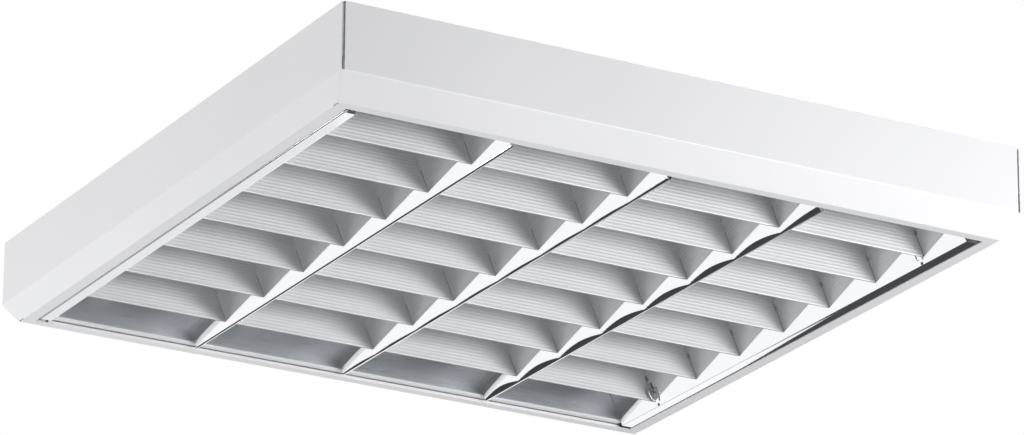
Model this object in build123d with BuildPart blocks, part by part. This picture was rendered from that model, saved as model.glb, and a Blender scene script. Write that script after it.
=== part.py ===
"""Square surface-mounted ceiling light with a hinged parabolic louvre and four slim tubes.

Millimetres. The origin is the middle of the ceiling face, +Z points up into the ceiling,
and the lamps lie along Y. The louvre hangs from two pivot pins along its -X side and is
caught by two spring wires along its +X side.
"""
import os
from math import atan, cos, hypot, pi, sin

from build123d import *

os.makedirs("parts", exist_ok=True)

# ---- housing ----
body_width = 600.0  # across the lamps, X
body_length = 600.0  # along the lamps, Y
body_height = 73.4
bend_height = 18.7  # the walls lean inwards below this height
side_inset = 8.0  # how far the long skirts lean in
end_inset = 18.0  # how far the end skirts lean in
sheet = 0.8  # steel sheet of the housing
side_flange = 10.6  # flat flange under each long skirt
end_lip = 9.0  # flat lip under each end skirt
lip_hem = 2.6  # height of the lip's upturned edge
hem_setback = 30.0  # the upturned edge stops this far from each side
seam_gap = 0.1  # gap between two sheets that meet at a corner
corner_gap = 3.0  # each end wall's upright edges stop this far from the corner
bend_radius = 0.8  # inside radius of the housing's folds
cut_margin = 1.0  # how far a cut runs past the piece that it cuts

mount_spacing_x = 280.0
mount_spacing_y = 400.0
mount_hole_radius = 3.25
cable_to_terminal = 37.0
cable_hole_radius = 10.0
cable_bore_radius = 4.6
grommet_flange_radius = 13.0
grommet_flange_height = 2.5

corner_leg = 12.0  # corner angles that join the walls
corner_sheet = 1.0
corner_height = 42.0
corner_bend = 2.0

# ---- lamps ----
lamp_pitch = 136.8  # also the pitch of the louvre's long reflectors
lamp_count = 4
lamp_height = 50.0  # lamp axis above the lower face
glass_radius = 7.6
glass_wall = 0.7
cap_radius = 8.0
cap_length = 15.0
cap_wall = 0.3
cap_clearance = 0.1
lamp_end_room = 25.5  # cap face to the end of the housing, which leaves 549 for the tube
pin_length = 7.1
pin_radius = 1.2
pin_spacing = 5.0

holder_width = 23.0
holder_depth = 16.0
holder_below_axis = 12.0
holder_gap = 0.7  # cap face to holder face
rotor_radius = 8.0
rotor_depth = 7.2
rotor_clearance = 0.3
rotor_recess = 0.3  # rotor face behind the holder's face
rotor_web = 0.8
holder_corner = 1.2
pin_slot = 3.0
entry_slot = 3.4

rail_depth = 5.2  # web of the holder rail below the housing top
rail_web = 13.0
rail_slope = 1.0
rail_foot = 3.5
rail_setback = 1.0  # the holders stand this far past the rail's web
rail_overhang = 5.3  # the rail runs on past the outer holders

# ---- gear ----
gear_sheet = 0.6
gear_depth = 26.2
gear_bottom_half = 27.0
gear_top_half = 42.0
gear_flange = 12.0
gear_end_gap = 12.7  # gear cover to holder rail
cover_screw_x = 48.0
cover_screw_setback = 62.0
screw_radius = 1.9
screw_clearance = 0.15
screw_head_radius = 4.0
screw_head_height = 2.4

ballast_length = 360.0
ballast_width = 39.0
ballast_height = 21.0
ballast_to_cable = 25.0
ballast_foot = 12.0
ballast_foot_sheet = 1.0
ballast_edge = 1.5

terminal_to_earth = 28.0
terminal_length = 30.0
terminal_depth = 22.0
terminal_height = 18.0
terminal_ways = 3
terminal_hole_radius = 1.7
terminal_hole_depth = 9.0

earth_setback = 12.0  # from the end of the gear cover
earth_radius = 2.0
earth_length = 12.0
earth_nut_radius = 4.0
earth_nut_height = 3.2

# ---- louvre ----
louvre_height = 39.5
louvre_end_gap = 0.7  # flange of an end plate to the housing's lip
louvre_side_gap = 1.1  # strip of a side reflector to the housing's flange
mirror_sheet = 0.5
mirror_bend = 0.3  # inside radius of the folds in the bright sheet
tip_radius = 2.0  # rounded lower edge of each reflector
tip_slope = 0.47  # spread of a reflector for each mm of height, at its lower edge
top_spread = 19.5  # half width of a reflector at its top, which sets its parabola
top_return = 3.0  # folded edge along the top of each reflector
strip_width = 8.9  # flat strip along the foot of each side reflector
strip_return = 3.0

blade_count = 7
blade_pitch = 69.6
blade_bottom = 4.5
blade_top = 36.0
blade_sheet = 0.4
blade_tip_radius = 0.9
blade_lean = 0.06  # spread of a blade for each mm of height
blade_rib_pitch = 2.75
blade_rib_depth = 0.35
blade_end_setback = 13.4  # from the strip of a side reflector
interlock_height = 21.0  # blades are notched below it, reflectors slotted above it
fit_gap = 0.15

end_flange_height = 3.1
end_flange_width = 6.0
end_top_return = 4.0
end_foot_setback = 2.4  # end plate's lower and upper corners, from the strip
end_head_setback = 21.4

# ---- louvre hinge ----
hinge_from_edge = 2.8  # pin to the edge of the side reflector's strip
hinge_height = 2.8
hinge_pin_radius = 1.0
hinge_clearance = 0.15
hinge_pin_reach = 2.6  # the pin's tip passes the housing's lip by this much
hinge_ear_sheet = 0.8
hinge_ear_width = 5.0
hinge_ear_offset = 1.0  # the ear's middle lies this far inside the pin
hinge_ear_height = 6.0
hinge_ear_setback = 1.0
hinge_base_length = 15.0
hinge_bracket_width = 10.0
hinge_bracket_length = 7.0
hinge_bracket_setback = 0.2

# ---- louvre catches ----
catch_to_blade = 4.8  # from the middle of the outermost blade
catch_from_edge = 4.3  # pivot to the edge of the side reflector's strip
catch_height = 25.4
wire_radius = 0.8
wire_bend = 1.6
catch_pin_length = 5.0
catch_nose = (9.5, -21.8)  # nose of the wire, from its pivot
catch_seat = (5.0, -23.3)
catch_heel = (0.5, -22.8)
catch_elbow = (-9.0, -12.5)
catch_front = (-18.0, -12.0)
catch_curl = (-12.5, -20.0)
catch_tip = (-9.6, -22.6)
catch_slot_low = 10.4
catch_slot_high = 18.6
catch_slot_width = 3.2
catch_ear_offset = 2.2
catch_ear_sheet = 0.8
catch_ear_half = 3.2
catch_base_width = 8.0

# ---- worked out from the sizes above ----
half_width = body_width / 2
half_length = body_length / 2
bottom = -body_height
flange_edge = half_width - side_inset - side_flange
lip_edge = half_length - end_inset - end_lip
separator_count = lamp_count - 1
lamp_axis = bottom + lamp_height
lamp_xs = [(i - (lamp_count - 1) / 2) * lamp_pitch for i in range(lamp_count)]
separator_xs = [(i - (separator_count - 1) / 2) * lamp_pitch for i in range(separator_count)]
blade_ys = [(i - (blade_count - 1) / 2) * blade_pitch for i in range(blade_count)]

strip_outer = flange_edge - louvre_side_gap
strip_inner = strip_outer - strip_width
louvre_end = lip_edge - louvre_end_gap - end_flange_width
blade_half_length = strip_inner - blade_end_setback
hinge_x = -strip_outer + hinge_from_edge
catch_x = strip_outer - catch_from_edge
catch_y = blade_ys[-1] - catch_to_blade

cap_face = half_length - lamp_end_room
holder_face = cap_face + holder_gap
holder_back = holder_face + holder_depth
rail_inner = holder_back + rail_setback - rail_web - rail_slope - rail_foot
rail_underside = -sheet - rail_depth - sheet
gear_half_length = rail_inner - gear_end_gap
cover_screw_y = gear_half_length - cover_screw_setback
earth_y = gear_half_length - earth_setback
terminal_y = earth_y - terminal_to_earth
cable_y = terminal_y - cable_to_terminal
ballast_y = cable_y - ballast_to_cable - ballast_length / 2

tip_angle = atan(tip_slope)
tip_reach = tip_radius * cos(tip_angle)
tip_rise = tip_radius * (1 - sin(tip_angle))
flank_height = louvre_height - tip_rise
tip_curl = (tip_reach + tip_slope * flank_height - top_spread) / flank_height**2
wall_shift = mirror_sheet / cos(tip_angle)


def at(height):
    """Z of a height above the lower face."""
    return bottom + height


def reach(height):
    """Half width of a reflector's section at a height: a rounded tip, then a parabola."""
    rise = height - tip_rise
    return tip_reach + tip_slope * rise - tip_curl * rise**2


def blade_half(height):
    """Half width of a blade's section at a height above the lower face."""
    return blade_tip_radius + blade_lean * (height - blade_bottom - blade_tip_radius)


def as_drawn(u, v):
    """The point itself, for an outline that isn't turned or mirrored."""
    return (u, v)


def bent_sheet(points, thickness, bend, place=as_drawn):
    """Face of a sheet folded along the points, inside the sketch that is open.

    Its thickness lies to the left of the points, bend is the inside radius of each fold, and
    place gives a point's position in the sketch.
    """
    path = [Vector(*point) for point in points]
    ways = [(b - a).normalized() for a, b in zip(path, path[1:])]
    sides = [Vector(-way.Y, way.X) for way in ways]
    inner = [path[0] + sides[0] * thickness]
    path_radii = []
    inner_radii = []
    for corner, way, one, two in zip(path[1:], ways[1:], sides, sides[1:]):
        middle = one + two
        inner.append(corner + middle * (2 * thickness / middle.dot(middle)))
        turns_left = one.dot(way) > 0
        path_radii.append(bend + thickness if turns_left else bend)
        inner_radii.append(bend if turns_left else bend + thickness)
    inner.append(path[-1] + sides[-1] * thickness)
    corners = [place(p.X, p.Y) for p in path + inner[::-1]]
    radii = [0, *path_radii, 0, 0, *inner_radii[::-1], 0]
    with BuildLine() as edge:
        FilletPolyline(*corners, radius=radii, close=True)
    make_face(edge.edges())


def outline(points):
    """Closed face through the points, inside the sketch that is open."""
    Polygon(*points, align=None)


def save(builder, name):
    """Label a finished piece and write its file."""
    builder.part.label = name
    export_step(builder.part, f"parts/{name}.step")


# ---- housing ----

side_path = [
    (flange_edge, bottom),
    (half_width - side_inset, bottom),
    (half_width, at(bend_height)),
    (half_width, 0),
    (-half_width, 0),
    (-half_width, at(bend_height)),
    (-half_width + side_inset, bottom),
    (-flange_edge, bottom),
]
end_path = [
    (half_length, 0),
    (half_length, at(bend_height)),
    (half_length - end_inset, bottom),
    (lip_edge, bottom),
]
skirt_run = hypot(end_inset, bend_height)
sheet_across = sheet * skirt_run / bend_height  # the end skirt's sheet, measured level
side_across = sheet * hypot(side_inset, bend_height) / bend_height
inner_bend = bend_height + (sheet_across - sheet) * bend_height / end_inset  # inside the end's bend
fold_radius = bend_radius + sheet

with BuildPart() as housing_tray:
    with BuildSketch(Plane.XZ):
        bent_sheet(side_path, sheet, bend_radius)
    extrude(amount=half_length - sheet - seam_gap, both=True)
    # the ends of the skirts and flanges stop inside the sloped end walls
    with BuildSketch(Plane.YZ) as tray_ends:
        for way in (1, -1):
            outline(
                [
                    (way * (half_length - sheet - seam_gap), at(inner_bend)),
                    (way * (lip_edge + end_lip - sheet_across - seam_gap), bottom),
                    (way * (lip_edge + end_lip - sheet_across - seam_gap), bottom - cut_margin),
                    (way * (half_length + cut_margin), bottom - cut_margin),
                    (way * (half_length + cut_margin), at(inner_bend)),
                ]
            )
            outline(
                [
                    (way * (lip_edge - seam_gap), bottom - cut_margin),
                    (way * (lip_edge - seam_gap), at(sheet + seam_gap)),
                    (way * (half_length + cut_margin), at(sheet + seam_gap)),
                    (way * (half_length + cut_margin), bottom - cut_margin),
                ]
            )
    extrude(amount=half_width + cut_margin, both=True, mode=Mode.SUBTRACT)
    with BuildSketch(Plane.XY.offset(-sheet)):
        with GridLocations(mount_spacing_x, mount_spacing_y, 2, 2):
            Circle(mount_hole_radius)
        with Locations((0, cable_y)):
            Circle(cable_hole_radius)
        with GridLocations(2 * cover_screw_x, 2 * cover_screw_y, 2, 2):
            Circle(screw_radius + screw_clearance)
        with Locations((0, ballast_y)):
            with GridLocations(0, ballast_length - ballast_foot, 1, 2):
                Circle(screw_radius + screw_clearance)
    extrude(amount=sheet, mode=Mode.SUBTRACT)
save(housing_tray, "housing_tray")


def end_wall(name, way):
    """One end of the housing: upright wall, sloped skirt, lip and upturned edge."""
    lip_side = half_width - side_inset - side_across - seam_gap
    lip_back = lip_edge + end_lip - sheet_across - seam_gap
    lip_start = lip_edge - cut_margin
    upright_side = half_width - corner_gap
    with BuildPart() as wall:
        with BuildSketch(Plane.YZ):
            bent_sheet(end_path[::-1], sheet, bend_radius, lambda y, z: (way * y, z))
        extrude(amount=half_width, both=True)
        with BuildSketch(Plane.YZ):
            outline(
                [
                    (way * lip_edge, bottom),
                    (way * lip_edge, at(lip_hem)),
                    (way * (lip_edge + sheet), at(lip_hem)),
                    (way * (lip_edge + sheet), bottom),
                ]
            )
        extrude(amount=half_width - hem_setback, both=True)
        # the upright edges stop short of the corner, and the mitred ends of the skirt follow
        # the long sides down round their lower fold
        with BuildSketch(Plane.XZ):
            for side in (1, -1):
                corners = [
                    (upright_side, cut_margin),
                    (upright_side, at(bend_height)),
                    (half_width, at(bend_height)),
                    (half_width - side_inset, bottom),
                    (half_width - side_inset - fold_radius, bottom),
                    (half_width - side_inset - fold_radius, bottom - cut_margin),
                    (half_width + cut_margin, bottom - cut_margin),
                    (half_width + cut_margin, cut_margin),
                ]
                radii = [0, 0, 0, fold_radius, 0, 0, 0, 0]
                with BuildLine() as edge:
                    FilletPolyline(*[(side * x, z) for x, z in corners], radius=radii, close=True)
                make_face(edge.edges())
        extrude(amount=half_length + cut_margin, both=True, mode=Mode.SUBTRACT)
        # the lip fits between the two long skirts
        with BuildSketch(Plane.XY.offset(bottom)):
            for side in (1, -1):
                outline(
                    [
                        (side * lip_side, way * lip_start),
                        (side * lip_side, way * lip_back),
                        (side * half_width, way * lip_back),
                        (side * half_width, way * lip_start),
                    ]
                )
        extrude(amount=sheet + seam_gap, mode=Mode.SUBTRACT)
    save(wall, name)


end_wall("end_wall_near", -1)
end_wall("end_wall_far", 1)

with BuildPart() as corner_angles:
    for side_x in (1, -1):
        for side_y in (1, -1):
            x = half_width - sheet
            y = half_length - sheet
            legs = [(x, y - corner_leg), (x, y), (x - corner_leg, y)]
            with BuildSketch(Plane.XY.offset(-sheet - bend_radius - corner_height)):
                bent_sheet(legs, corner_sheet, corner_bend, lambda u, v: (side_x * u, side_y * v))
            extrude(amount=corner_height)
save(corner_angles, "corner_angles")

# ---- gear ----

gear_base = -sheet
gear_path = [
    (-gear_top_half - gear_flange, gear_base),
    (-gear_top_half, gear_base),
    (-gear_bottom_half, gear_base - gear_depth),
    (gear_bottom_half, gear_base - gear_depth),
    (gear_top_half, gear_base),
    (gear_top_half + gear_flange, gear_base),
]
with BuildPart() as gear_cover:
    with BuildSketch(Plane.XZ):
        bent_sheet(gear_path[::-1], gear_sheet, bend_radius)
    extrude(amount=gear_half_length, both=True)
    with BuildSketch(Plane.XY.offset(gear_base - gear_sheet)):
        with GridLocations(2 * cover_screw_x, 2 * cover_screw_y, 2, 2):
            Circle(screw_radius + screw_clearance)
    extrude(amount=gear_sheet, mode=Mode.SUBTRACT)
save(gear_cover, "gear_cover")

with BuildPart() as cover_screws:
    head_top = gear_base - gear_sheet
    with BuildSketch(Plane.XY.offset(head_top - screw_head_height)):
        with GridLocations(2 * cover_screw_x, 2 * cover_screw_y, 2, 2):
            Circle(screw_head_radius)
    extrude(amount=screw_head_height)
    with BuildSketch(Plane.XY.offset(head_top)):
        with GridLocations(2 * cover_screw_x, 2 * cover_screw_y, 2, 2):
            Circle(screw_radius)
    extrude(amount=gear_sheet + sheet)
save(cover_screws, "cover_screws")

ballast_low = gear_base - ballast_height
with BuildPart() as ballast:
    with BuildSketch(Plane.XZ.offset(-ballast_y)):
        with Locations((0, gear_base - ballast_height / 2)):
            Rectangle(ballast_width, ballast_height)
        fillet(vertices().group_by(Axis.Y)[0], ballast_edge)
    extrude(amount=ballast_length / 2 - ballast_foot, both=True)
    with BuildSketch(Plane.XY.offset(gear_base - ballast_foot_sheet)):
        with Locations((0, ballast_y)):
            Rectangle(ballast_width, ballast_length)
            with GridLocations(0, ballast_length - ballast_foot, 1, 2):
                Circle(screw_radius + screw_clearance, mode=Mode.SUBTRACT)
    extrude(amount=ballast_foot_sheet)
save(ballast, "ballast")

with BuildPart() as ballast_screws:
    foot_under = gear_base - ballast_foot_sheet
    with BuildSketch(Plane.XY.offset(foot_under - screw_head_height)):
        with Locations((0, ballast_y)):
            with GridLocations(0, ballast_length - ballast_foot, 1, 2):
                Circle(screw_head_radius)
    extrude(amount=screw_head_height)
    with BuildSketch(Plane.XY.offset(foot_under)):
        with Locations((0, ballast_y)):
            with GridLocations(0, ballast_length - ballast_foot, 1, 2):
                Circle(screw_radius)
    extrude(amount=ballast_foot_sheet + sheet)
save(ballast_screws, "ballast_screws")

with BuildPart() as terminal_block:
    with BuildSketch(Plane.XY.offset(gear_base - terminal_height)):
        with Locations((0, terminal_y)):
            Rectangle(terminal_length, terminal_depth)
    extrude(amount=terminal_height)
    way_pitch = terminal_length / terminal_ways
    for way in (1, -1):
        face = Plane.XZ.offset(-terminal_y - way * terminal_depth / 2)
        with BuildSketch(face):
            with Locations((0, gear_base - terminal_height / 2)):
                with GridLocations(way_pitch, 0, terminal_ways, 1):
                    Circle(terminal_hole_radius)
        extrude(amount=way * terminal_hole_depth, mode=Mode.SUBTRACT)
save(terminal_block, "terminal_block")

with BuildPart() as earth_stud:
    with BuildSketch(Plane.XY.offset(gear_base - earth_length)):
        with Locations((0, earth_y)):
            Circle(earth_radius)
    extrude(amount=earth_length)
    with BuildSketch(Plane.XY.offset(gear_base - earth_length / 2 - earth_nut_height / 2)):
        with Locations((0, earth_y)):
            RegularPolygon(earth_nut_radius, 6)
    extrude(amount=earth_nut_height)
save(earth_stud, "earth_stud")

with BuildPart() as cable_grommet:
    with BuildSketch(Plane.XY.offset(gear_base - grommet_flange_height)):
        with Locations((0, cable_y)):
            Circle(grommet_flange_radius)
    extrude(amount=grommet_flange_height)
    with BuildSketch(Plane.XY.offset(gear_base)):
        with Locations((0, cable_y)):
            Circle(cable_hole_radius - fit_gap)
    extrude(amount=sheet)
    with BuildSketch(Plane.XY.offset(gear_base - grommet_flange_height)):
        with Locations((0, cable_y)):
            Circle(cable_bore_radius)
    extrude(amount=grommet_flange_height + sheet, mode=Mode.SUBTRACT)
save(cable_grommet, "cable_grommet")

# ---- lamps and their holders ----

rail_half_length = lamp_xs[-1] + holder_width / 2 + rail_overhang
rail_path = [
    (rail_inner, -sheet),
    (rail_inner + rail_foot, -sheet),
    (rail_inner + rail_foot + rail_slope, -sheet - rail_depth),
    (rail_inner + rail_foot + rail_slope + rail_web, -sheet - rail_depth),
    (rail_inner + rail_foot + 2 * rail_slope + rail_web, -sheet),
    (rail_inner + 2 * rail_foot + 2 * rail_slope + rail_web, -sheet),
]


def holder_rail(name, way):
    """Channel across the housing that carries one row of lamp holders."""
    with BuildPart() as rail:
        with BuildSketch(Plane.YZ):
            bent_sheet(rail_path[::-1], sheet, bend_radius, lambda y, z: (way * y, z))
        extrude(amount=rail_half_length, both=True)
    save(rail, name)


def lamp_holders(name, way):
    """Four holders, each with a round seat for its rotor and a slot for the lamp's pins."""
    top = rail_underside
    low = lamp_axis - holder_below_axis
    front = Plane.XZ.offset(-way * holder_face)
    seat_depth = rotor_recess + rotor_depth + rotor_clearance
    with BuildPart() as holders:
        with BuildSketch(front):
            with Locations(*[(x, (top + low) / 2) for x in lamp_xs]):
                RectangleRounded(holder_width, top - low, holder_corner)
        extrude(amount=-way * holder_depth)
        with BuildSketch(front):
            with Locations(*[(x, lamp_axis) for x in lamp_xs]):
                Circle(rotor_radius + rotor_clearance)
            with Locations(*[(x, (lamp_axis + low) / 2) for x in lamp_xs]):
                Rectangle(entry_slot, lamp_axis - low)
        extrude(amount=-way * seat_depth, mode=Mode.SUBTRACT)
    save(holders, name)


holder_rail("holder_rail_near", -1)
holder_rail("holder_rail_far", 1)
lamp_holders("lamp_holders_near", -1)
lamp_holders("lamp_holders_far", 1)

glass_half = cap_face - cap_length / 2 + cap_clearance
for number, lamp_x in enumerate(lamp_xs, start=1):
    with BuildPart() as lamp_tube:
        with BuildSketch(Plane.XZ):
            with Locations((lamp_x, lamp_axis)):
                Circle(glass_radius)
                Circle(glass_radius - glass_wall, mode=Mode.SUBTRACT)
        extrude(amount=glass_half, both=True)
    save(lamp_tube, f"lamp_tube_{number}")

    with BuildPart() as lamp_caps:
        for way in (1, -1):
            with BuildSketch(Plane.XZ.offset(-way * (cap_face - cap_length))):
                with Locations((lamp_x, lamp_axis)):
                    Circle(cap_radius)
            extrude(amount=-way * cap_length)
            with BuildSketch(Plane.XZ.offset(-way * (cap_face - cap_length))):
                with Locations((lamp_x, lamp_axis)):
                    Circle(cap_radius - cap_wall)
            extrude(amount=-way * (cap_length / 2 + 2 * cap_clearance), mode=Mode.SUBTRACT)
            with BuildSketch(Plane.XZ.offset(-way * cap_face)):
                with Locations((lamp_x, lamp_axis)):
                    with GridLocations(pin_spacing, 0, 2, 1):
                        Circle(pin_radius)
            extrude(amount=-way * pin_length)
    save(lamp_caps, f"lamp_caps_{number}")

    with BuildPart() as lamp_rotors:
        for way in (1, -1):
            with BuildSketch(Plane.XZ.offset(-way * (holder_face + rotor_recess))):
                with Locations((lamp_x, lamp_axis)):
                    Circle(rotor_radius)
            extrude(amount=-way * rotor_depth)
            with BuildSketch(Plane.XZ.offset(-way * (holder_face + rotor_recess))):
                with Locations((lamp_x, lamp_axis)):
                    Rectangle(2 * rotor_radius, pin_slot)
            extrude(amount=-way * (rotor_depth - rotor_web), mode=Mode.SUBTRACT)
    save(lamp_rotors, f"lamp_rotors_{number}")

# ---- louvre ----

reach_top = reach(louvre_height)


def reflector_outline(centre, inward=1):
    """One leg of a reflector, from the middle of its tip to its folded top edge.

    The leg spreads towards -X when inward is 1 and towards +X when it is -1.
    """
    swing = (pi / 2 - tip_angle) / 2
    inner = tip_radius - mirror_sheet

    def tip(radius, turn):
        return (centre - inward * radius * sin(turn), at(tip_radius - radius * cos(turn)))

    def wall(height, shift=0.0):
        return (centre - inward * (reach(height) - shift), at(height))

    fold = louvre_height - mirror_sheet
    with BuildLine() as leg:
        ThreePointArc(tip(tip_radius, 0), tip(tip_radius, swing), tip(tip_radius, 2 * swing))
        ThreePointArc(wall(tip_rise), wall(louvre_height / 2), wall(louvre_height))
        Line(wall(louvre_height), wall(louvre_height, top_return))
        Line(wall(louvre_height, top_return), (wall(louvre_height, top_return)[0], at(fold)))
        Line((wall(louvre_height, top_return)[0], at(fold)), wall(fold, wall_shift))
        inside = tip(inner, 2 * swing)
        middle = (louvre_height + tip_rise) / 2
        ThreePointArc(wall(fold, wall_shift), wall(middle, wall_shift), inside)
        ThreePointArc(inside, tip(inner, swing), tip(inner, 0))
        Line(tip(inner, 0), tip(tip_radius, 0))
    make_face(leg.edges())


def blade_slots():
    """Slots, open at the top, where the upper half of each blade passes through."""
    low = interlock_height - fit_gap
    high = louvre_height + cut_margin
    narrow = blade_half(low) + fit_gap
    wide = blade_half(high) + fit_gap
    corners = [(-narrow, at(low)), (narrow, at(low)), (wide, at(high)), (-wide, at(high))]
    for y in blade_ys:
        outline([(y + across, z) for across, z in corners])


for number, centre in enumerate(separator_xs, start=1):
    with BuildPart() as separator:
        with BuildSketch(Plane.XZ):
            reflector_outline(centre, 1)
            reflector_outline(centre, -1)
        extrude(amount=louvre_end, both=True)
        with BuildSketch(Plane.YZ.offset(centre)):
            blade_slots()
        extrude(amount=reach_top + cut_margin, both=True, mode=Mode.SUBTRACT)
    save(separator, f"separator_{number}")


def side_reflector(name, side):
    """Mirror along one side of the louvre, with the flat strip below and its upturned edge."""
    with BuildPart() as reflector:
        with BuildSketch(Plane.XZ):
            reflector_outline(side * strip_inner, side)
            strip = [(strip_inner, bottom), (strip_outer, bottom), (strip_outer, at(strip_return))]
            bent_sheet(strip, mirror_sheet, mirror_bend, lambda x, z: (side * x, z))
        extrude(amount=louvre_end - fit_gap, both=True)
        with BuildSketch(Plane.YZ.offset(side * (strip_inner - reach_top / 2))):
            blade_slots()
        extrude(amount=reach_top / 2 + top_return + cut_margin, both=True, mode=Mode.SUBTRACT)
        if side > 0:
            # openings for the finger end of each catch, and gaps for it in the upturned edge
            with BuildSketch(Plane.YZ.offset(strip_inner - reach_top)):
                with Locations((0, at((catch_slot_low + catch_slot_high) / 2))):
                    with GridLocations(2 * catch_y, 0, 2, 1):
                        Rectangle(catch_slot_width, catch_slot_high - catch_slot_low)
            extrude(amount=reach_top, mode=Mode.SUBTRACT)
            with BuildSketch(Plane.YZ.offset(strip_outer - mirror_sheet - fit_gap)):
                with Locations((0, at(mirror_sheet + strip_return / 2))):
                    with GridLocations(2 * catch_y, 0, 2, 1):
                        Rectangle(catch_slot_width, strip_return)
            extrude(amount=mirror_sheet + cut_margin, mode=Mode.SUBTRACT)
    save(reflector, name)


side_reflector("side_reflector_left", -1)
side_reflector("side_reflector_right", 1)

rib_foot = blade_bottom + 2 * blade_tip_radius
rib_steps = int((blade_top - rib_foot) / (blade_rib_pitch / 2))


def blade_flank(shift):
    """Ribbed flank of a blade from its tip up, moved inwards by the shift."""
    heights = [rib_foot + i * blade_rib_pitch / 2 for i in range(rib_steps + 1)]
    dips = [blade_rib_depth * (i % 2) for i in range(rib_steps + 1)]
    return [(blade_half(h) - dip - shift, at(h)) for h, dip in zip(heights, dips)]


def blade(name, y):
    """Ribbed V-shaped blade across the louvre, notched from below over the reflectors."""
    tip = blade_tip_radius
    inner = tip - blade_sheet
    centre = at(blade_bottom + tip)
    tip_middle = (tip * sin(pi / 4), centre - tip * cos(pi / 4))
    inner_middle = (inner * sin(pi / 4), centre - inner * cos(pi / 4))
    outer_flank = blade_flank(0)
    inner_flank = blade_flank(blade_sheet)
    with BuildPart() as part:
        with BuildSketch(Plane.YZ) as section:
            with BuildLine():
                ThreePointArc((0, centre - tip), tip_middle, (tip, centre))
                Polyline((tip, centre), *outer_flank)
                Line(outer_flank[-1], inner_flank[-1])
                Polyline(*inner_flank[::-1], (inner, centre))
                ThreePointArc((inner, centre), inner_middle, (0, centre - inner))
                Line((0, centre - inner), (0, centre - tip))
            make_face()
            mirror(about=Plane.YZ)
        extrude(amount=blade_half_length, both=True)
        low = blade_bottom - cut_margin
        mid = (low + interlock_height) / 2
        steps = (low, mid, interlock_height)
        with BuildSketch(Plane.XZ):
            for x in separator_xs:
                left = [(x - reach(h) - fit_gap, at(h)) for h in steps]
                right = [(x + reach(h) + fit_gap, at(h)) for h in steps]
                outline(left + right[::-1])
            for side in (1, -1):
                edge = [(side * (strip_inner - reach(h) - fit_gap), at(h)) for h in steps]
                outline(edge + [(side * half_width, at(interlock_height)), (side * half_width, at(low))])
        extrude(amount=blade_half(blade_top) + cut_margin, both=True, mode=Mode.SUBTRACT)
    part.part.position = (0, y, 0)
    save(part, name)


for number, blade_y in enumerate(blade_ys, start=1):
    blade(f"blade_{number}", blade_y)


def louvre_end_plate(name, way):
    """Plate across one end of the louvre, with a flange below and a folded top edge."""
    plate_path = [
        (louvre_end + end_flange_width, at(end_flange_height)),
        (louvre_end, at(end_flange_height)),
        (louvre_end, at(louvre_height)),
        (louvre_end + end_top_return, at(louvre_height)),
    ]
    end_foot_half = strip_inner - end_foot_setback
    end_head_half = strip_inner - end_head_setback
    above = at(louvre_height + cut_margin)
    with BuildPart() as plate:
        with BuildSketch(Plane.YZ):
            bent_sheet(plate_path[::-1], mirror_sheet, mirror_bend, lambda y, z: (way * y, z))
        extrude(amount=end_foot_half, both=True)
        with BuildSketch(Plane.XZ):
            for side in (1, -1):
                outline(
                    [
                        (side * end_foot_half, at(end_flange_height + mirror_sheet)),
                        (side * (end_foot_half + cut_margin), above),
                        (side * end_head_half, above),
                    ]
                )
        extrude(amount=half_length, both=True, mode=Mode.SUBTRACT)
    save(plate, name)


louvre_end_plate("louvre_end_near", -1)
louvre_end_plate("louvre_end_far", 1)

# ---- louvre hinge ----

ear_face = louvre_end - fit_gap - hinge_ear_setback
ear_x = hinge_x + hinge_ear_offset
with BuildPart() as hinge_pins:
    for way in (1, -1):
        with BuildSketch(Plane.XY.offset(at(mirror_sheet))):
            with Locations((ear_x, way * (ear_face - hinge_base_length / 2))):
                Rectangle(hinge_ear_width, hinge_base_length)
        extrude(amount=hinge_ear_sheet)
        with BuildSketch(Plane.XZ.offset(-way * ear_face)):
            with Locations((ear_x, at(mirror_sheet + hinge_ear_height / 2))):
                Rectangle(hinge_ear_width, hinge_ear_height)
        extrude(amount=way * hinge_ear_sheet)
        with BuildSketch(Plane.XZ.offset(-way * ear_face)):
            with Locations((hinge_x, at(hinge_height))):
                Circle(hinge_pin_radius)
        extrude(amount=-way * (lip_edge + hinge_pin_reach - ear_face))
save(hinge_pins, "hinge_pins")

with BuildPart() as hinge_brackets:
    for way in (1, -1):
        near_face = lip_edge + hinge_bracket_setback
        with BuildSketch(Plane.XY.offset(at(sheet))):
            with Locations((hinge_x, way * (near_face + hinge_bracket_length / 2))):
                Rectangle(hinge_bracket_width, hinge_bracket_length)
        extrude(amount=hinge_ear_sheet)
        with BuildSketch(Plane.XZ.offset(-way * near_face)):
            with Locations((hinge_x, at(sheet + hinge_ear_height / 2))):
                Rectangle(hinge_bracket_width, hinge_ear_height)
            with Locations((hinge_x, at(hinge_height))):
                Circle(hinge_pin_radius + hinge_clearance, mode=Mode.SUBTRACT)
        extrude(amount=-way * hinge_ear_sheet)
save(hinge_brackets, "hinge_brackets")

# ---- louvre catches ----


def catch_point(offset, y):
    """Point of the catch wire, given from its pivot."""
    return (catch_x + offset[0], y, at(catch_height) + offset[1])


for name, catch_side in (("catch_near", -1), ("catch_far", 1)):
    plane_y = catch_side * catch_y
    with BuildPart() as catch:
        with BuildLine() as wire:
            FilletPolyline(
                (catch_x, plane_y + catch_pin_length, at(catch_height)),
                catch_point((0, 0), plane_y),
                catch_point(catch_nose, plane_y),
                catch_point(catch_seat, plane_y),
                catch_point(catch_heel, plane_y),
                catch_point(catch_elbow, plane_y),
                catch_point(catch_front, plane_y),
                catch_point(catch_curl, plane_y),
                catch_point(catch_tip, plane_y),
                radius=wire_bend,
            )
        with BuildSketch(Plane(wire.line @ 0, z_dir=wire.line % 0)):
            Circle(wire_radius)
        sweep()
    save(catch, name)

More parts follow.
